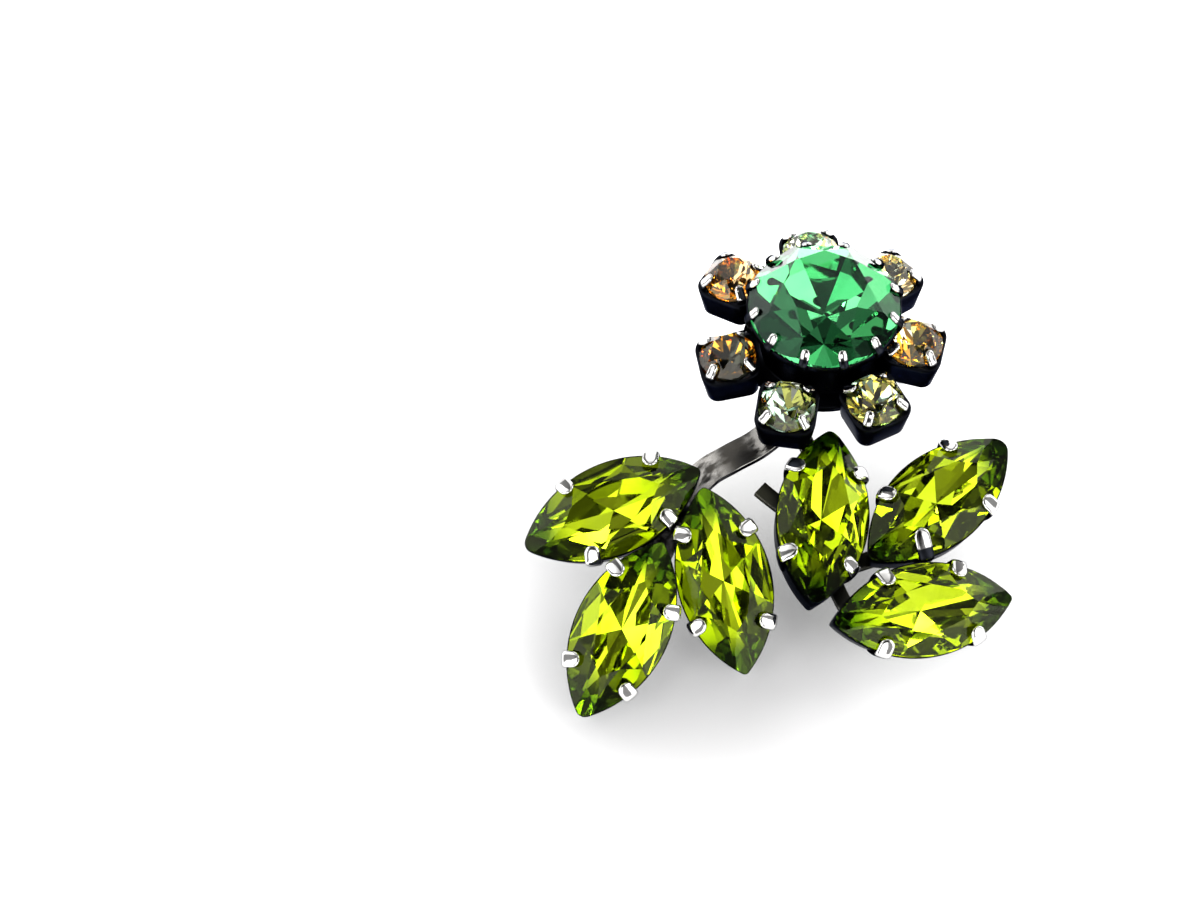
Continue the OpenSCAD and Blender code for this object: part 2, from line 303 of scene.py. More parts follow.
tip_shade_mask = range_node(nodes, links, outward, (given.outputs["Tip_start"], tip_shade_end), (0.0, 1.0), smooth=True)
links.new(mix_node(nodes, links, tip_shade_mask, tint, given.outputs["Tips"]), gives.inputs["Color"])
where = nodes.new("ShaderNodeTexCoord").outputs["Object"]
clouds = noise_node(nodes, links, where, scale=700, detail=3)
links.new(range_node(nodes, links, clouds, (0.35, 0.75), FOIL_ROUGHNESS), gives.inputs["Roughness"])

# Face of a stone: glass ground and then polished by tumbling, so it is a little wavy, with faint smears
GLASS_IOR = 1.58
GLASS_ROUGHNESS = (0.0, 0.05)
WAVE_DEPTH = 0.004
PALE_CAST = (0.9, 0.95, 0.7)
PALE_SHARE = (0.0, 0.12)
glass_face, nodes, links, given, gives = new_effect(
    "glass_face",
    {"Tint": "Color", "Waves": "Float"},
    {"Color": "Color", "Roughness": "Float", "Normal": "Vector"})
where = nodes.new("ShaderNodeTexCoord").outputs["Object"]
milky = noise_node(nodes, links, where, scale=250, detail=2)
cast = range_node(nodes, links, milky, (0.3, 0.7), PALE_SHARE)
links.new(mix_node(nodes, links, cast, given.outputs["Tint"], PALE_CAST), gives.inputs["Color"])
smears = noise_node(nodes, links, where, scale=1100, detail=5)
links.new(range_node(nodes, links, smears, (0.5, 0.85), GLASS_ROUGHNESS), gives.inputs["Roughness"])
ripple = noise_node(nodes, links, where, scale=420, detail=1)
waves = math_node(nodes, links, "MULTIPLY", ripple, given.outputs["Waves"])
links.new(bump_node(nodes, links, waves, strength=1.0, distance=MM), gives.inputs["Normal"])


def cut_glass(name, tint, gleam):
    """Clear glass of one tint; gleam is the tint of what it mirrors, with white for clean glass."""
    material, nodes, links, shader = new_material(name)
    face = place_effect(glass_face, nodes, Tint=tint, Waves=WAVE_DEPTH)
    links.new(face.outputs["Color"], shader.inputs["Base Color"])
    links.new(face.outputs["Roughness"], shader.inputs["Roughness"])
    links.new(face.outputs["Normal"], shader.inputs["Normal"])
    shader.inputs["Transmission Weight"].default_value = 1.0
    shader.inputs["IOR"].default_value = GLASS_IOR
    shader.inputs["Specular Tint"].default_value = (*gleam, 1)
    return material


# Past the ends of a stone, which are at 1, so that no part of it takes the painted shade of the tips
NO_TIP_SHADE = 2.0


def mirror_foil(name, tints, tips=(0, 0, 0), tip_shade_start=NO_TIP_SHADE):
    """Mirror foil behind glass with four tints, which also paint lighter and darker reflections facet by
    facet, and one more for the tips as painted shade if these have it.
    """
    material, nodes, links, shader = new_material(name)
    first, second, third, fourth = tints
    foil = place_effect(facet_tints_and_painted_reflections, nodes, First=first, Second=second, Third=third, Fourth=fourth,
                        Tips=tips, Tip_start=tip_shade_start)
    links.new(foil.outputs["Color"], shader.inputs["Base Color"])
    links.new(foil.outputs["Roughness"], shader.inputs["Roughness"])
    shader.inputs["Metallic"].default_value = 1.0
    return material


# The leaves' foil: its darker tints paint dark reflections on some facets, and the deep olive that takes over
# towards the tips is painted shade
LEAF_TINTS = ((0.94, 1.0, 0.38), (0.72, 0.76, 0.32), (0.94, 1.0, 0.38), (0.52, 0.56, 0.22))
olive_glass = cut_glass("olive_glass", tint=(0.68, 0.84, 0.012), gleam=(0.4, 0.45, 0.25))
olive_foil = mirror_foil("olive_foil", LEAF_TINTS, tips=(0.11, 0.19, 0.05), tip_shade_start=0.42)
for leaf, row in LEAVES.items():
    piece = cut_stone("cut_" + leaf, oval_edge(half_l, half_w, row.tips), LEAF_CROWN, LEAF_PAVILION,
                      (), leaf_place(row), (olive_glass, olive_foil), row.draw)
    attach(piece, "root")
    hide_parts(leaf.replace("leaf", "leaf_stone"))

# Large stone: one round of emerald glass with the leaves' cut and the same foil behind. It stands above the
# petals in a round cup of its own, where twelve prongs hold it.
FLOWER_AT = (4.49, 10.83, 7.67)
FLOWER_LEAN = 10.5
FLOWER_RISE = 2.6
FLOWER_D = 12.0
FLOWER_CROWN = 3.0
FLOWER_PAVILION = 4.2
FLOWER_DRAW = 36
flower_r = FLOWER_D / 2
flower_place = Matrix.Translation(FLOWER_AT) @ turn_about(-FLOWER_LEAN, 0, 0)
raised = flower_place @ Matrix.Translation((0, 0, FLOWER_RISE))
# The large stone's foil: its near black and middling tints paint dark reflections on some facets
FLOWER_TINTS = ((0.8, 1.0, 0.88), (0.03, 0.08, 0.05), (0.75, 1.0, 0.8), (0.3, 0.6, 0.42))
emerald_glass = cut_glass("emerald_glass", tint=(0.1, 0.6, 0.24), gleam=(0.26, 0.46, 0.35))
emerald_foil = mirror_foil("emerald_foil", FLOWER_TINTS)
piece = cut_stone("cut_flower_stone", round_edge(flower_r), FLOWER_CROWN, FLOWER_PAVILION, (), raised,
                  (emerald_glass, emerald_foil), FLOWER_DRAW)
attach(piece, "root")
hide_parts("flower_stone")

# Petal stones: seven small rounds of clear glass, cut below with small facets along the edge too. The foil
# behind them gives each its amber, straw or mint, and a near black tint in it paints dark reflections on some
# facets. Each drops into a square cup with four prongs.
PETAL_D = 4.5
PETAL_CROWN = 1.3
PETAL_PAVILION = 1.75
PETAL_LEAN = 5
petal_r = PETAL_D / 2
AMBER = (1.0, 0.48, 0.06)
STRAW = (1.0, 0.85, 0.25)
PALE = (0.95, 1.0, 0.9)
MINT = (0.6, 0.85, 0.7)
MOSS = (0.3, 0.32, 0.08)
# Near black foil tint, which paints dark reflections on some facets
PAINTED_DARK_REFLECTION = (0.05, 0.055, 0.045)
PEACH = (1.0, 0.72, 0.36)
# A petal: angle round the flower, distance out, turn of its square cup, the tints of its foil and the draw
# that gives each facet one of them
Petal = namedtuple("Petal", "angle out turn tints draw")
PETALS = (
    Petal(96, 7.4, 0, (STRAW, PALE, MINT, PALE), 51),
    Petal(146, 8.5, 4, (PEACH, STRAW, AMBER, PEACH), 33),
    Petal(202, 8.2, -12, (AMBER, PAINTED_DARK_REFLECTION, AMBER, STRAW), 34),
    Petal(249, 8.5, 12, (MINT, PALE, MINT, MOSS), 84),
    Petal(298, 8.3, 0, (STRAW, MOSS, MINT, PALE), 60),
    Petal(347, 7.4, 0, (AMBER, STRAW, PALE, STRAW), 43),
    Petal(43, 7.35, -6, (PALE, PEACH, STRAW, PEACH), 11),
)


def petal_place(row):
    return (flower_place @ Matrix.Rotation(radians(row.angle), 4, "Z") @ Matrix.Translation((row.out, 0, 0))
            @ turn_about(0, PETAL_LEAN, row.turn))


clear_glass = cut_glass("clear_glass", tint=(0.95, 0.94, 0.86), gleam=(1.0, 0.95, 0.85))
for number, row in enumerate(PETALS, 1):
    foil = mirror_foil(f"petal_foil_{number}", row.tints)
    piece = cut_stone(f"cut_petal_{number}", round_edge(petal_r), PETAL_CROWN, PETAL_PAVILION, (FOIL,),
                      petal_place(row), (clear_glass, foil), row.draw)
    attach(piece, "root")
    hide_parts(f"petal_stone_{number}")

# Leaf cups: one for each leaf stone, pressed from brass sheet with a flat back and a thin collar that
# closes round the stone's edge, and plated in dark gunmetal.
CUP_DEPTH = 2.75
OUTLINE_POINTS = 72
SHARP_FROM = 50


def placed_mesh(name, points, faces, place, material, wear=None, runs=None):
    """Smooth piece from points in its own millimetres, with how far each point is worn bright and, for a
    strip or the pin, where it lies along, across and up the piece."""
    mesh = bpy.data.meshes.new(name)
    mesh.from_pydata([Matrix.Scale(MM, 4) @ place @ Vector(p) for p in points], [], faces)
    worn = mesh.attributes.new("wear", "FLOAT", "POINT")
    worn.data.foreach_set("value", wear or [0.0] * len(points))
    if runs:
        run = mesh.attributes.new("run", "FLOAT_VECTOR", "POINT")
        run.data.foreach_set("vector", [number for row in runs for number in row])
    body = bmesh.new()
    body.from_mesh(mesh)
    bmesh.ops.recalc_face_normals(body, faces=body.faces[:])
    body.to_mesh(mesh)
    body.free()
    mesh.shade_smooth()
    mesh.set_sharp_from_angle(angle=radians(SHARP_FROM))
    mesh.materials.append(material)
    return put_in_scene(name, mesh)


def ring_faces(rings, count):
    """Faces between rings of count points, and over the two ends."""
    faces = []
    for r in range(rings - 1):
        here, there = r * count, (r + 1) * count
        for i in range(count):
            j = (i + 1) % count
            faces.append((here + i, here + j, there + j, there + i))
    faces.append(tuple(range(count))[::-1])
    faces.append(tuple(range((rings - 1) * count, rings * count)))
    return faces


# Plating over brass: worn through to bright metal on rubbed places, with blotches and fine scuffs
BLUE_CAST = (0.03, 0.034, 0.045)
BLUE_SHARE = (0.0, 0.6)
WORN_THROUGH = (0.2, 0.55)
SCUFFED = 0.12
rubbed_plating, nodes, links, given, gives = new_effect(
    "rubbed_plating",
    {"Plating": "Color", "Bare": "Color", "Blotches": "Float", "Dull": "Float", "Shine": "Float"},
    {"Color": "Color", "Roughness": "Float", "Normal": "Vector"})
where = nodes.new("ShaderNodeTexCoord").outputs["Object"]
blotch = noise_node(nodes, links, where, scale=900, detail=4)
lift = math_node(nodes, links, "SUBTRACT", blotch, 0.5)
lift = math_node(nodes, links, "MULTIPLY", lift, given.outputs["Blotches"])
worn = math_node(nodes, links, "ADD", attribute_node(nodes, "wear"), lift)
mask = range_node(nodes, links, worn, WORN_THROUGH, (0.0, 1.0), smooth=True)
cloudy = noise_node(nodes, links, where, scale=350, detail=2)
cast = range_node(nodes, links, cloudy, (0.35, 0.7), BLUE_SHARE)
shaded = mix_node(nodes, links, cast, given.outputs["Plating"], BLUE_CAST)
links.new(mix_node(nodes, links, mask, shaded, given.outputs["Bare"]), gives.inputs["Color"])
gloss = range_node(nodes, links, mask, (0.0, 1.0), (given.outputs["Dull"], given.outputs["Shine"]))
scuffs = noise_node(nodes, links, where, scale=5200, detail=3)
links.new(math_node(nodes, links, "MULTIPLY_ADD", scuffs, SCUFFED, gloss), gives.inputs["Roughness"])
dents = math_node(nodes, links, "ADD", math_node(nodes, links, "MULTIPLY", scuffs, SCUFFED), blotch)
links.new(bump_node(nodes, links, dents, strength=0.5, distance=0.02 * MM), gives.inputs["Normal"])
SLANT_TINT = (0.25, 0.26, 0.3)


def plated_metal(name, plating, bare, blotches, dull, shine):
    """Metal under a plating that is worn off where it is rubbed, and that mirrors little at a slant."""
    material, nodes, links, shader = new_material(name)
    surface = place_effect(rubbed_plating, nodes, Plating=plating, Bare=bare, Blotches=blotches,
                           Dull=dull, Shine=shine)
    links.new(surface.outputs["Color"], shader.inputs["Base Color"])
    links.new(surface.outputs["Roughness"], shader.inputs["Roughness"])
    links.new(surface.outputs["Normal"], shader.inputs["Normal"])
    shader.inputs["Metallic"].default_value = 1.0
    shader.inputs["Specular Tint"].default_value = (*SLANT_TINT, 1)
    return material


gunmetal = plated_metal("gunmetal_plating", plating=(0.014, 0.015, 0.019), bare=(0.85, 0.84, 0.82),
                        blotches=0.5, dull=0.22, shine=0.03)

# Wall of a leaf cup from its back over its collar and down to its floor: how far it stands out from the
# stone's edge along the leaf and across it, and its height
LEAF_WALL = (
    (-0.8, -0.7, -CUP_DEPTH), (-0.5, -0.42, -CUP_DEPTH), (-0.42, -0.33, -2.71), (-0.38, -0.28, -2.6),
    (-0.25, -0.2, -1.9), (0.0, 0.0, -0.8), (0.06, 0.09, -0.35), (0.065, 0.1, -0.04), (0.06, 0.085, 0.01),
    (0.04, 0.05, 0.02), (0.02, 0.02, -0.01), (0.015, 0.015, -0.14), (-0.12, -0.12, -0.3), (-2.1, -1.25, -2.3),
)
TIP_LEAST = 0.12


def leaf_outline(tips, out_l, out_w):
    tips = [max(TIP_LEAST, t + min(out_l, out_w)) for t in tips]
    edge = oval_edge(half_l + out_l, half_w + out_w, tips)
    return [edge(360 * (i + 0.5) / OUTLINE_POINTS) for i in range(OUTLINE_POINTS)]


def metal_piece(piece):
    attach(piece, "root")
    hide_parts("frame")


for leaf, row in LEAVES.items():
    points = []
    for out_l, out_w, z in LEAF_WALL:
        points += [(p.x, p.y, z) for p in leaf_outline(row.tips, out_l, out_w)]
    faces = ring_faces(len(LEAF_WALL), OUTLINE_POINTS)
    metal_piece(placed_mesh("cup_" + leaf, points, faces, leaf_place(row), gunmetal))

# Prongs: tongues of the cups' own metal, folded over the stones' edges and rubbed bright at their round
# ends. Four hold each leaf, four each petal and twelve the large stone.
PRONG_T = 0.38
LEAF_PRONG_W = 1.3
LEAF_PRONG_REACH = 0.95
LEAF_PRONG_FOOT = 1.9
LONG_PRONG = ("leaf_5", 3)
LONG_REACH = 1.9
FOOT_INSET = 0.12
FOOT_SLOPE = 0.05
BELLY_OUT = 0.1
BELLY_SHARE = 0.45
UNDER_EDGE = 0.05
OVER_EDGE = 0.2
BEND_SHARE = 0.6
BEND_OUT = 0.12
PRESSED = 0.9
PATH_STEPS = 5
RUBBED_SHARE = 0.56
RUB_BEYOND = 0.3
RUB_FADE = 0.4
ROUND_END_SHARE = 0.55
END_HALF_LEAST = 0.02
END_RINGS = 8
END_THIN = 0.35
SECTION_POINTS = 16
SECTION_SQUARE = 0.6
TOP_SWELL = 1.15
UNDER_SWELL = 0.8
TOP_RUB = 0.35
CLEAR = 0.03
# Prongs of each leaf: how far along it from its middle, and the side that each stands on
LEAF_PRONGS = {
    "leaf_1": ((2.8, -1), (-4.4, -1), (-3.8, 1), (3, 1)),
    "leaf_2": ((-4.2, -1), (-2.9, 1), (3.9, -1), (4.3, 1)),
    "leaf_3": ((-4.3, -1), (-3.7, 1), (3.1, -1), (3.9, 1)),
    "leaf_4": ((3.8, 1), (4, -1), (-3.9, 1), (-4.2, -1)),
    "leaf_5": ((-3, 1), (3.8, 1), (-4.1, -1), (2.8, -1)),
    "leaf_6": ((-3, 1), (3.3, 1), (-4, -1), (4, -1)),
}


def crown_height(inset, w, crown):
    """Height of a stone's cut top at an inset from its edge, for a stone of half width w."""
    half_turn = cos(pi / MAINS)
    knee_in = (1 - (1 - CROWN_KNEE * (1 - TABLE_SHARE)) / half_turn) * w
    knee_z = EDGE_H + CROWN_KNEE * (crown - EDGE_H)
    table_in = (1 - TABLE_SHARE * half_turn) * w
    if inset < knee_in:
        return EDGE_H + inset / knee_in * (knee_z - EDGE_H)
    return knee_z + (inset - knee_in) / (table_in - knee_in) * (crown - knee_z)


def smooth_path(points, steps):
    """Catmull-Rom curve through points, with the same number of steps between each two."""
    points = [Vector(p) for p in points]
    ends = [2 * points[0] - points[1]] + points + [2 * points[-1] - points[-2]]
    path = []
    for i in range(1, len(ends) - 2):
        a, b, c, d = ends[i - 1:i + 3]
        for k in range(steps):
            t = k / steps
            path.append(0.5 * (2 * b + (c - a) * t + (2 * a - 5 * b + 4 * c - d) * t * t
                               + (3 * b - 3 * c + d - a) * t ** 3))
    return path + [points[-1]]


def prong(name, width, reach, foot, w, crown, place):
    """Prong at a stone's edge, which is at the origin with the stone towards -X. It reaches in by its reach
    and down by its foot, over a stone of half width w."""
    short = min(reach, LEAF_PRONG_REACH)
    bend = short * BEND_SHARE
    half_t = PRONG_T / 2
    # Middle line from the cup's wall up over the edge to the tip
    line = smooth_path([
        (-FOOT_INSET - FOOT_SLOPE * foot, 0, -foot),
        (BELLY_OUT, 0, -foot * BELLY_SHARE),
        (CLEAR + half_t, 0, -UNDER_EDGE),
        (CLEAR + half_t * PRESSED, 0, EDGE_H + OVER_EDGE),
        (-bend + BEND_OUT, 0, crown_height(bend - BEND_OUT, w, crown) + CLEAR + half_t),
        (-reach, 0, crown_height(reach, w, crown) + CLEAR + half_t * PRESSED),
    ], PATH_STEPS)
    lengths = [0.0]
    for a, b in zip(line, line[1:]):
        lengths.append(lengths[-1] + (b - a).length)
    total = lengths[-1]
    rubbed = RUBBED_SHARE * (foot + RUB_BEYOND + short)
    round_end = width * ROUND_END_SHARE
    points, wear = [], []
    stations = [(p, at) for p, at in zip(line, lengths) if at < total - round_end]
    for k in range(END_RINGS):
        at = total - round_end * (1 - sin(pi / 2 * k / (END_RINGS - 1)))
        at = min(at, total - 1e-4)
        j = max(i for i, length in enumerate(lengths) if length <= at)
        share = (at - lengths[j]) / (lengths[j + 1] - lengths[j])
        stations.append((line[j].lerp(line[j + 1], share), at))
    for i, (p, at) in enumerate(stations):
        before, after = stations[max(i - 1, 0)][0], stations[min(i + 1, len(stations) - 1)][0]
        way = (after - before).normalized()
        out = Vector((way.z, 0, -way.x))
        left = total - at
        narrow = 1.0 if left > round_end else sqrt(max(0.0, 1 - (1 - left / round_end) ** 2))
        half = max(END_HALF_LEAST, width / 2 * narrow)
        thick = half_t * (END_THIN + (1 - END_THIN) * narrow)
        bright = min(1.0, max(0.0, (rubbed - left) / RUB_FADE))
        for k in range(SECTION_POINTS):
            angle = 2 * pi * k / SECTION_POINTS
            side = half * (abs(cos(angle)) ** SECTION_SQUARE) * (1 if cos(angle) >= 0 else -1)
            lift = thick * sin(angle) * (TOP_SWELL if sin(angle) > 0 else UNDER_SWELL)
            points.append(p + Vector((0, side, 0)) + out * lift)
            wear.append(bright * max(0.0, min(1.0, TOP_RUB + sin(angle))))
    return placed_mesh(name, points, ring_faces(len(stations), SECTION_POINTS), place, gunmetal, wear)


def edge_place(row, along, side):
    """Place of a prong on a leaf's edge, turned square to the edge there."""
    tip = row.tips[0] if along > 0 else row.tips[1]
    step = 0.05
    before, here, after = (oval_half_width(half_l, half_w, tip, along + way * step) for way in (-1, 0, 1))
    turn = atan2(side * 2 * step, before - after)
    return leaf_place(row) @ Matrix.Translation((along, side * here, 0)) @ Matrix.Rotation(turn, 4, "Z")


for leaf, row in LEAVES.items():
    for number, (along, side) in enumerate(LEAF_PRONGS[leaf], 1):
        reach = LONG_REACH if (leaf, number) == LONG_PRONG else LEAF_PRONG_REACH
        metal_piece(prong(f"prong_{leaf}_{number}", LEAF_PRONG_W, reach, LEAF_PRONG_FOOT, half_w, LEAF_CROWN,
                          edge_place(row, along, side)))

# Flower cups: a round cup on a plate for the large stone, and seven square cups soldered round it. All are
# of the same plated brass.
PETAL_CUP_DEPTH = 2.9
PETAL_CUP_W = 4.86
PETAL_CORNER = 1.25
PLATE_R = flower_r + 0.4
PLATE_T = 0.7
NECK_R = flower_r - 1.05
CUP_FLOOR_T = 0.45
CUP_MIDDLE_R = 0.4
base_z = -PETAL_CUP_DEPTH - FLOWER_RISE
plate_top = base_z + PLATE_T
floor_z = base_z + CUP_FLOOR_T
# Half section of the large stone's cup and its plate, as distance out and height
CENTRE_WALL = (
    (CUP_MIDDLE_R, base_z), (PLATE_R - 0.15, base_z), (PLATE_R - 0.04, base_z + 0.05),
    (PLATE_R, base_z + 0.15), (PLATE_R, plate_top - 0.15), (PLATE_R - 0.04, plate_top - 0.04),
    (PLATE_R - 0.15, plate_top),
    (NECK_R + 0.15, plate_top), (NECK_R + 0.03, plate_top + 0.06), (NECK_R, plate_top + 0.2), (NECK_R, -1.7),
    (NECK_R + 0.06, -1.45), (flower_r + 0.06, -0.68), (flower_r + 0.14, -0.5), (flower_r + 0.15, -0.1),
    (flower_r + 0.13, -0.01), (flower_r + 0.07, 0.02), (flower_r + 0.02, -0.02), (flower_r + 0.015, -0.2),
    (flower_r - 0.12, -0.3), (NECK_R - 0.6, -1.5), (flower_r - 3, floor_z), (CUP_MIDDLE_R, floor_z),
)


def round_ring(radius, z, shift=0.0):
    """Ring of points at a height; shift is how far the first point is turned, in steps."""
    turns = [2 * pi * (i + shift) / OUTLINE_POINTS for i in range(OUTLINE_POINTS)]
    return [(radius * cos(turn), radius * sin(turn), z) for turn in turns]


points = []
for out, z in CENTRE_WALL:
    points += round_ring(out, z)
metal_piece(placed_mesh("cup_flower", points, ring_faces(len(CENTRE_WALL), OUTLINE_POINTS), raised, gunmetal))

# Wall of a petal cup: how far it stands in from the cup's half width, and its height
PETAL_WALL = (
    (0.7, -PETAL_CUP_DEPTH), (0.5, -PETAL_CUP_DEPTH), (0.4, -2.86), (0.35, -2.75), (0.03, -0.5), (0.0, -0.3),
    (0.02, -0.2), (0.1, -0.16),
)
# Inside of a petal cup: distance out and height
PETAL_WELL = (
    (petal_r + 0.06, -0.14), (petal_r + 0.02, -0.17), (petal_r + 0.01, -0.25), (petal_r - 0.1, -0.4),
    (petal_r - 0.75, -2.05),
)
RIM_Z = -0.4
CORNER_LIFT = 0.12
CORNER_NARROW = 3
CORNER_LEAST = 0.5


def square_ring(half, corner, z, lift):
    """Ring of a square with round corners, whose corners stand a little higher than its sides."""
    ring = []
    flat = half - corner
    for i in range(OUTLINE_POINTS):
        angle = 2 * pi * (i + 0.5) / OUTLINE_POINTS
        x, y = cos(angle), sin(angle)
        small, large = sorted((abs(x), abs(y)))
        # Distance along the ray at which it leaves the rounded square
        reach = half / large
        if small * reach > flat:
            along = flat * (small + large)
            reach = along + sqrt(max(0.0, along * along - 2 * flat * flat + corner * corner))
        ring.append((reach * x, reach * y, z + lift * abs(sin(2 * angle)) ** CORNER_NARROW))
    return ring


for number, row in enumerate(PETALS, 1):
    points = []
    for inset, z in PETAL_WALL:
        lift = CORNER_LIFT if z > RIM_Z else 0.0
        points += square_ring(PETAL_CUP_W / 2 - inset, max(CORNER_LEAST, PETAL_CORNER - inset), z, lift)
    for out, z in PETAL_WELL:
        points += round_ring(out, z, 0.5)
    faces = ring_faces(len(PETAL_WALL) + len(PETAL_WELL), OUTLINE_POINTS)
    metal_piece(placed_mesh(f"cup_petal_{number}", points, faces, petal_place(row), gunmetal))
    for corner in range(4):
        at = Matrix.Rotation(radians(45 + 90 * corner), 4, "Z") @ Matrix.Translation((petal_r, 0, 0))
        metal_piece(prong(f"prong_petal_{number}_{corner + 1}", width=0.76, reach=0.58, foot=1.4, w=petal_r,
                          crown=PETAL_CROWN, place=petal_place(row) @ at))

FLOWER_PRONGS = 12
FIRST_PRONG = 12.7
for number in range(FLOWER_PRONGS):
    turn = radians(FIRST_PRONG + 360 * number / FLOWER_PRONGS)
    at = Matrix.Rotation(turn, 4, "Z") @ Matrix.Translation((flower_r, 0, 0))
    metal_piece(prong(f"prong_flower_{number + 1}", width=0.75, reach=0.64, foot=0.9, w=flower_r,
                      crown=FLOWER_CROWN, place=raised @ at))

# Strips: flat tinned brass wire, bent to shape and soldered behind the cups. The two wide ones, the stem and
# the left spray's, are pale in blotches, dark without the blotches half way along the stem, and darker down
# their sides. The narrow ones carry the right spray.
STEM_W = 2.4
CROSS_W = 1.3
STRIP_T = 0.65
STRIP_ROUND = 0.1
STRIP_STEPS = 8
CORNER_POINTS = 4
EDGE_RUB = 0.5
SIDE_BAND = (0.06, 0.02)
LAP = 0.15
SPRAY_HUB = Vector((-6.94, -3.34, 4.2))


def leaf_back(leaf, along):
    return leaf_place(LEAVES[leaf]) @ Vector((along, 0, -CUP_DEPTH - LAP))


def flower_back(x, y):
    return flower_place @ Vector((x, y, -PETAL_CUP_DEPTH - LAP))


def rounded_section(width, height, radius):
    """Points round a rectangle with round corners."""
    section = []
    for sx, sy in ((1, 1), (-1, 1), (-1, -1), (1, -1)):
        for k in range(CORNER_POINTS):
            angle = atan2(sy, sx) - pi / 4 + pi / 2 * k / (CORNER_POINTS - 1)
            section.append((sx * (width / 2 - radius) + radius * cos(angle),
                            sy * (height / 2 - radius) + radius * sin(angle)))
    return section


def strip(name, points, width, material):
    """Strip along a smooth line through points, lying flat and rubbed along its edges."""
    line = smooth_path(points, STRIP_STEPS)
    section = rounded_section(width, STRIP_T, STRIP_ROUND)
    made, wear, runs = [], [], []
    run = 0.0
    for i, p in enumerate(line):
        run += (p - line[max(i - 1, 0)]).length
        way = (line[min(i + 1, len(line) - 1)] - line[max(i - 1, 0)]).normalized()
        side = Vector((0, 0, 1)).cross(way).normalized()
        up = way.cross(side)
        for j, (x, y) in enumerate(section):
            made.append(p + side * x + up * y)
            wear.append(EDGE_RUB if j % CORNER_POINTS in (1, 2) else 0.0)
            runs.append((run, x, y))
    return placed_mesh(name, made, ring_faces(len(line), len(section)), Matrix(), material, wear, runs)


# Width of each strip and the points that its middle line runs through
STRIPS = {
    "stem": (STEM_W, (
        flower_back(-2.4, -6.5), (-0.64, 1.66, 5.35), (-2.94, 0.16, 5.6), (-5.04, -1.04, 5.1), SPRAY_HUB,
        leaf_back("leaf_2", -4), leaf_back("leaf_2", 1))),
    "left_strip": (STEM_W, (
        leaf_back("leaf_1", 0), leaf_back("leaf_1", -3), SPRAY_HUB, leaf_back("leaf_3", -4),
        leaf_back("leaf_3", 0))),
    "cross_strip": (CROSS_W, (
        (-0.59, -1.39, 3.3), (3.36, -5.09, 2.75), leaf_back("leaf_6", -4.5), leaf_back("leaf_6", 1))),
    "right_strip": (CROSS_W, (flower_back(-2.4, -6.5), leaf_back("leaf_4", 4), leaf_back("leaf_4", -4))),
    "far_strip": (CROSS_W, (leaf_back("leaf_4", -4), leaf_back("leaf_5", -5), leaf_back("leaf_5", 1))),
}
PALE_BLOTCH = (1.0, 0.96, 0.9)
BLOTCH_STRETCH = (0.7, 1.5, 1.5)
BLOTCH_EDGE = (0.38, 0.56)
DARK_SIDE = (0.025, 0.026, 0.03)
STEM_DARK_AT = 5.7
STEM_DARK_REACH = (0.5, 2.3)
UPPER_EDGE = (-0.2, 0.2)
UNDERSIDE_SHARE = 0.15
strip_metal, nodes, links, shader = new_material("tarnished_strip")
surface = place_effect(rubbed_plating, nodes, Plating=(0.2, 0.185, 0.16), Bare=(0.9, 0.88, 0.82),
                       Blotches=0.9, Dull=0.3, Shine=0.18)
place_on_strip = nodes.new("ShaderNodeSeparateXYZ")
links.new(attribute_node(nodes, "run", "Vector"), place_on_strip.inputs["Vector"])
stretch = nodes.new("ShaderNodeMapping")
stretch.inputs["Scale"].default_value = BLOTCH_STRETCH
links.new(attribute_node(nodes, "run", "Vector"), stretch.inputs["Vector"])
blotches = noise_node(nodes, links, stretch.outputs["Vector"], scale=1.3, detail=6)
from_dark = math_node(nodes, links, "SUBTRACT", place_on_strip.outputs["X"], STEM_DARK_AT)
from_dark = math_node(nodes, links, "ABSOLUTE", from_dark)
ends = range_node(nodes, links, from_dark, STEM_DARK_REACH, (0.0, 1.0), smooth=True)
pale = range_node(nodes, links, blotches, BLOTCH_EDGE, (0.0, 1.0))
pale = math_node(nodes, links, "MULTIPLY", pale, ends)
on_top = range_node(nodes, links, place_on_strip.outputs["Z"], UPPER_EDGE, (UNDERSIDE_SHARE, 1.0))
pale = math_node(nodes, links, "MULTIPLY", pale, on_top)
across = math_node(nodes, links, "ABSOLUTE", place_on_strip.outputs["Y"])
band = tuple(STEM_W / 2 - inset for inset in SIDE_BAND)
side_mask = range_node(nodes, links, across, band, (0.0, 1.0))
tinned = mix_node(nodes, links, pale, surface.outputs["Color"], PALE_BLOTCH)
links.new(mix_node(nodes, links, side_mask, tinned, DARK_SIDE), shader.inputs["Base Color"])
dull_metal = math_node(nodes, links, "SUBTRACT", 1.0, pale)
links.new(dull_metal, shader.inputs["Metallic"])
links.new(surface.outputs["Roughness"], shader.inputs["Roughness"])
links.new(bump_node(nodes, links, blotches, strength=0.6, distance=0.03 * MM), shader.inputs["Normal"])
shader.inputs["Specular Tint"].default_value = (*SLANT_TINT, 1)
dark_strip = plated_metal("dark_strip", plating=(0.1, 0.1, 0.07), bare=(0.55, 0.53, 0.45),
                          blotches=0.7, dull=0.3, shine=0.15)
for name, (width, points) in STRIPS.items():
    metal_piece(strip(name, points, width, strip_metal if width == STEM_W else dark_strip))

# Solder: a low mound at each place where a strip or a petal's cup is joined, flowed round by hand and
# plated with the rest, so it is dark, a little uneven and rubbed at its top.
MOUND_RINGS = 6
MOUND_POINTS = 24
MOUND_TOP = 0.96
BULGES = 6
BULGE_LEAST, BULGE_MOST = 0.8, 1.15
MOUND_RUB = 0.3
HUB_LIFT = 0.25
JOINT_INSET = 0.1
PIN_JOINT_X = 3.6
PIN_Y = 0.5


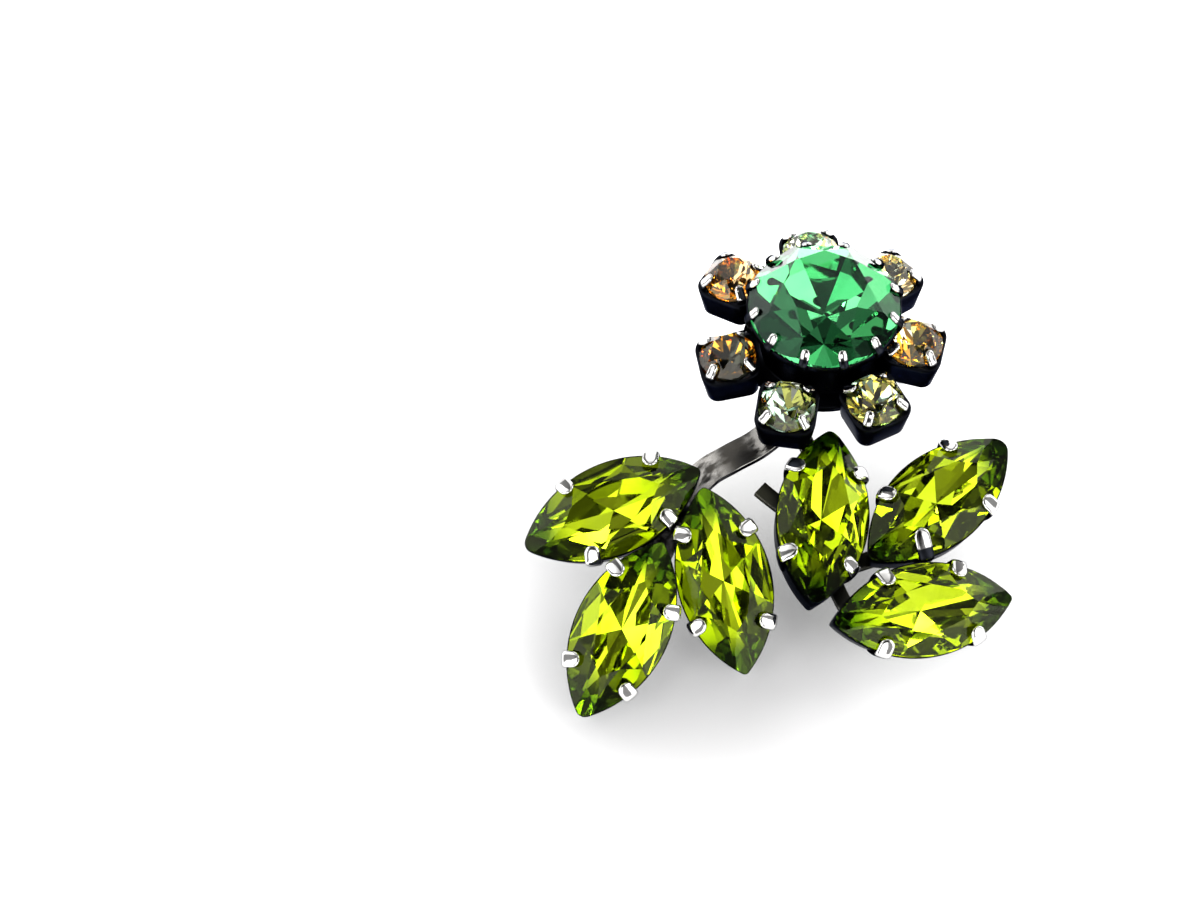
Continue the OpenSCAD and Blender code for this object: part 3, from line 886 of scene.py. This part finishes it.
def mound(name, place, radius, height, draw):
    """Low heap of solder whose foot is at the place's origin and whose top is towards its +Z."""
    drawn = random.Random(draw)
    bulges = [drawn.uniform(BULGE_LEAST, BULGE_MOST) for i in range(BULGES)]
    points, wear = [], []
    for k in range(MOUND_RINGS):
        rise = pi / 2 * k / (MOUND_RINGS - 1) * MOUND_TOP
        for i in range(MOUND_POINTS):
            spot = BULGES * i / MOUND_POINTS
            share = (1 - cos(pi * (spot % 1))) / 2
            bulge = bulges[int(spot)] * (1 - share) + bulges[(int(spot) + 1) % BULGES] * share
            angle = 2 * pi * i / MOUND_POINTS
            out = radius * bulge * cos(rise)
            points.append((out * cos(angle), out * sin(angle), height * sin(rise)))
            wear.append(MOUND_RUB * sin(rise))
    return placed_mesh(name, points, ring_faces(MOUND_RINGS, MOUND_POINTS), place, gunmetal, wear)


DOWN = Matrix.Rotation(pi, 4, "X")
# Where a strip is soldered to a leaf's back: the leaf and how far along it
LEAF_JOINTS = (("leaf_1", 0.0), ("leaf_2", 1.0), ("leaf_3", 0.0), ("leaf_4", 4.0), ("leaf_4", -4.0),
               ("leaf_5", 1.0), ("leaf_6", 1.0))
for number, (leaf, along) in enumerate(LEAF_JOINTS, 1):
    place = leaf_place(LEAVES[leaf]) @ Matrix.Translation((along, 0, -CUP_DEPTH)) @ DOWN
    metal_piece(mound(f"solder_leaf_{number}", place, radius=1.5, height=0.6, draw=number))
for number, row in enumerate(PETALS, 1):
    place = (flower_place @ Matrix.Rotation(radians(row.angle), 4, "Z")
             @ Matrix.Translation((PLATE_R - JOINT_INSET, 0, -PETAL_CUP_DEPTH)) @ DOWN)
    metal_piece(mound(f"solder_petal_{number}", place, radius=0.95, height=0.2, draw=20 + number))
place = Matrix.Translation(SPRAY_HUB + Vector((0, 0, HUB_LIFT)))
metal_piece(mound("solder_hub", place, radius=1.3, height=0.35, draw=31))
for number, x in enumerate((-PIN_JOINT_X, PIN_JOINT_X), 1):
    place = flower_place @ Matrix.Translation((x, PIN_Y, -PETAL_CUP_DEPTH)) @ DOWN
    metal_piece(mound(f"solder_pin_{number}", place, radius=1.35, height=0.36, draw=40 + number))

# Pin back: a bar of steel strip behind the flower with a lug folded down at each end. One lug carries a
# rolled knuckle and the other the catch, and the needle lies between them. Brushed along its length.
PIN_L = 16.5
PIN_W = 1.8
PIN_T = 0.7
PIN_ROUND = 0.12
BAR_TOP = 3.19
LUG_L = 2.0
KNUCKLE_R = 1.0
BARREL_ROUND = 0.2
GROOVE_W = 0.14
GROOVE_DEEP = 0.07
ROD_POINTS = 32
NEEDLE_R = 0.45
NEEDLE_L = 12.8
LUG_GAP = 0.1
CORNER_DROP = 1.2
PIN_RUB, PIN_EDGE_RUB, ROD_RUB = 0.1, 0.3, 0.15
lean = radians(FLOWER_LEAN)
needle_drop = (FLOWER_AT[2] - KNUCKLE_R) / cos(lean) - PIN_Y * tan(lean)
pin_place = flower_place @ Matrix.Translation((0, PIN_Y, 0))
lug_x = (PIN_L - LUG_L) / 2

pin_steel, nodes, links, shader = new_material("brushed_steel")
DARK_STROKE = (0.2, 0.2, 0.205)
STROKE_STRETCH = (0.25, 14.0, 14.0)
STROKE_SHARE = (0.0, 0.5)
surface = place_effect(rubbed_plating, nodes, Plating=(0.3, 0.3, 0.31), Bare=(0.62, 0.62, 0.62),
                       Blotches=0.5, Dull=0.26, Shine=0.14)
along_bar = nodes.new("ShaderNodeMapping")
along_bar.inputs["Scale"].default_value = STROKE_STRETCH
links.new(attribute_node(nodes, "run", "Vector"), along_bar.inputs["Vector"])
brushing = noise_node(nodes, links, along_bar.outputs["Vector"], scale=1.0, detail=3)
darker = range_node(nodes, links, brushing, (0.35, 0.65), STROKE_SHARE)
links.new(mix_node(nodes, links, darker, surface.outputs["Color"], DARK_STROKE), shader.inputs["Base Color"])
links.new(surface.outputs["Roughness"], shader.inputs["Roughness"])
links.new(bump_node(nodes, links, brushing, strength=0.4, distance=0.01 * MM), shader.inputs["Normal"])
shader.inputs["Metallic"].default_value = 1.0


def pin_piece(name, points, count, wear):
    rings = len(points) // count
    piece = placed_mesh(name, points, ring_faces(rings, count), pin_place, pin_steel, wear, points)
    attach(piece, "root")
    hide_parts("pin_back")


def rounded_block(name, x, z, length, height):
    """Block along X of the pin's width with rounded edges, its middle at x and z."""
    points, wear = [], []
    for end in (-1, 1):
        for k in range(CORNER_POINTS):
            turn = pi / 2 * (k if end < 0 else CORNER_POINTS - 1 - k) / (CORNER_POINTS - 1)
            back = PIN_ROUND * (1 - sin(turn))
            drop = CORNER_DROP * back
            section = rounded_section(PIN_W - drop, height - drop, PIN_ROUND)
            points += [(x + end * (length / 2 - back), across, z + up) for across, up in section]
            wear += [PIN_EDGE_RUB if j % CORNER_POINTS in (1, 2) else PIN_RUB for j in range(len(section))]
    pin_piece(name, points, len(section), wear)


def turned_rod(name, x, z, profile):
    """Round piece along X; the profile gives each ring's distance along X and its radius."""
    points = []
    for along, radius in profile:
        for i in range(ROD_POINTS):
            angle = 2 * pi * i / ROD_POINTS
            points.append((x + along, radius * cos(angle), z + radius * sin(angle)))
    pin_piece(name, points, ROD_POINTS, [ROD_RUB] * len(points))


def barrel(grooves):
    """Profile of a rolled tube as long as a lug, with round ends and a groove round it at each place."""
    ends = []
    for k in range(CORNER_POINTS):
        turn = pi / 2 * k / (CORNER_POINTS - 1)
        ends.append((LUG_L / 2 - BARREL_ROUND * (1 - cos(turn)), KNUCKLE_R - BARREL_ROUND * (1 - sin(turn))))
    profile = [(-along, radius) for along, radius in ends]
    for at in grooves:
        for side in (-1, 1):
            lip = (at + side * GROOVE_W / 2, KNUCKLE_R)
            bed = (at + side * GROOVE_W / 4, KNUCKLE_R - GROOVE_DEEP)
            profile += [lip, bed] if side < 0 else [bed, lip]
    return profile + ends[::-1]


needle_z = -needle_drop
rounded_block("pin_bar", 0, -BAR_TOP - PIN_T / 2, PIN_L, PIN_T)
for name, side in (("hinge", -1), ("catch", 1)):
    rounded_block(f"pin_{name}_lug", side * lug_x, -(BAR_TOP + needle_drop) / 2, LUG_L,
                  needle_drop - BAR_TOP - LUG_GAP)
turned_rod("pin_knuckle", -lug_x, needle_z, barrel(grooves=(-0.31, 0.31)))
turned_rod("pin_catch", lug_x, needle_z, barrel(grooves=(0.57,)))
# The needle tapers over its last stretch to a blunt point inside the catch
NEEDLE_TAPER = ((-2.8, 1.0), (-1.6, 0.955), (-0.6, 0.82), (0.0, 0.69))
profile = [(-NEEDLE_L / 2, NEEDLE_R)]
profile += [(NEEDLE_L / 2 + back, NEEDLE_R * share) for back, share in NEEDLE_TAPER]
turned_rod("pin_needle", 0, needle_z, profile)

# Studio: a white table in a light room with dark cards round it, and a low window behind. The camera looks
# down at the brooch as in the photo.
TABLE_SIZE = 3.0
TABLE_WHITE = 0.9
floor_mesh = bpy.data.meshes.new("table")
corner = TABLE_SIZE / 2
corners = [(-corner, -corner, 0), (corner, -corner, 0), (corner, corner, 0), (-corner, corner, 0)]
floor_mesh.from_pydata(corners, [], [(0, 1, 2, 3)])
floor = put_in_scene("table", floor_mesh)
material, nodes, links, shader = new_material("white_table")
shader.inputs["Base Color"].default_value = (TABLE_WHITE, TABLE_WHITE, TABLE_WHITE, 1)
shader.inputs["Roughness"].default_value = 0.6
shader.inputs["Specular IOR Level"].default_value = 0.1
shader.inputs["Emission Color"].default_value = (1, 1, 1, 1)
# The table glows with painted light: a painted pool of light behind the flower, and painted shade round the
# sprays, so that the table is lighter again beyond them
POOL_AT = (0.004, 0.034, 0)
POOL_REACH = (0.012, 0.045)
POOL_GLOW = (1.8, 0.16)
SHADE_AT = (-0.006, -0.008, 0)
SHADE_REACH = (0.01, 0.022)
SHADE_GLOW = (0.16, 0.55)
on_table = nodes.new("ShaderNodeTexCoord").outputs["Object"]


def spot_glow(at, reach, glow):
    """Glow that changes with the distance from a place on the table."""
    away = nodes.new("ShaderNodeVectorMath")
    away.operation = "DISTANCE"
    away.inputs[1].default_value = at
    links.new(on_table, away.inputs[0])
    return range_node(nodes, links, away.outputs["Value"], reach, glow, smooth=True)


glow = math_node(nodes, links, "MAXIMUM", spot_glow(POOL_AT, POOL_REACH, POOL_GLOW),
                 spot_glow(SHADE_AT, SHADE_REACH, SHADE_GLOW))
links.new(glow, shader.inputs["Emission Strength"])
floor_mesh.materials.append(material)

LOOKS_AT = Vector((-13.24, 1.56, 4.27)) * MM
LOOKS_DOWN = 65
DISTANCE = 350 * MM
SENSOR = 36
LENS = 132.3
to_camera = Vector((0, -cos(radians(LOOKS_DOWN)), sin(radians(LOOKS_DOWN))))
camera_data = bpy.data.cameras.new("camera")
camera_data.sensor_width = SENSOR
camera_data.lens = LENS
camera = put_in_scene("camera", camera_data)
camera.location = LOOKS_AT + to_camera * DISTANCE
camera.rotation_euler = (-to_camera).to_track_quat("-Z", "Y").to_euler()
bpy.context.scene.camera = camera

WINDOW_AT = Vector((0.12, 0.72, 0.22))
WINDOW_W, WINDOW_H = 0.9, 0.3
WINDOW_POWER = 9.0
light_data = bpy.data.lights.new("window", "AREA")
light_data.shape = "RECTANGLE"
light_data.size = WINDOW_W
light_data.size_y = WINDOW_H
light_data.energy = WINDOW_POWER
light = put_in_scene("window", light_data)
light.visible_glossy = False
light.location = WINDOW_AT
light.rotation_euler = (-WINDOW_AT).to_track_quat("-Z", "Y").to_euler()

world = bpy.data.worlds.new("studio")
bpy.context.scene.world = world
world.use_nodes = True
nodes, links = world.node_tree.nodes, world.node_tree.links
where = nodes.new("ShaderNodeTexCoord").outputs["Generated"]


def nearness(direction):
    """Cosine of the angle between a direction and the one looked in."""
    towards = nodes.new("ShaderNodeVectorMath")
    towards.operation = "DOT_PRODUCT"
    towards.inputs[1].default_value = direction
    links.new(where, towards.inputs[0])
    return towards.outputs["Value"]


# Light walls with dark cards that stand round the table. A share is how light a thing is beside the walls
CARDS = 6
CARD_EDGE = (0.15, 0.35)
CARD_SHARE = 0.12
ROOM_LIGHT = 2.5
FAR_WALL_UP = radians(50)
to_far_wall = (0, cos(FAR_WALL_UP), sin(FAR_WALL_UP))
# A dimmer part of the room: the way to its middle, the cosines that it fades between, and its share
Dimmer = namedtuple("Dimmer", "way cosines share")
DIMMER_PARTS = {
    "ceiling": Dimmer(way=(0, 0, 1), cosines=(0.55, 0.85), share=0.4),
    "camera_side": Dimmer(way=to_camera, cosines=(0.88, 0.93), share=0.04),
    "far_wall": Dimmer(way=to_far_wall, cosines=(0.6, 0.85), share=0.55),
}
parts = nodes.new("ShaderNodeSeparateXYZ")
links.new(where, parts.inputs["Vector"])
round_about = math_node(nodes, links, "ARCTAN2", parts.outputs["Y"], parts.outputs["X"])
swing = math_node(nodes, links, "COSINE", math_node(nodes, links, "MULTIPLY", round_about, CARDS))
room = range_node(nodes, links, swing, CARD_EDGE, (1.0, CARD_SHARE))
for part in DIMMER_PARTS.values():
    dimmed = range_node(nodes, links, nearness(part.way), part.cosines, (1.0, part.share))
    room = math_node(nodes, links, "MULTIPLY", room, dimmed)
links.new(mix_node(nodes, links, room, (0, 0, 0), (1, 1, 1)), nodes["Background"].inputs["Color"])
nodes["Background"].inputs["Strength"].default_value = ROOM_LIGHT

scene = bpy.context.scene
scene.view_settings.view_transform = "Standard"
# The denoiser reads colour alone, because the passes that guide it are grainy behind cut glass
scene.cycles.denoising_input_passes = "RGB"
scene.cycles.max_bounces = 16
scene.cycles.glossy_bounces = 12
scene.cycles.transmission_bounces = 14
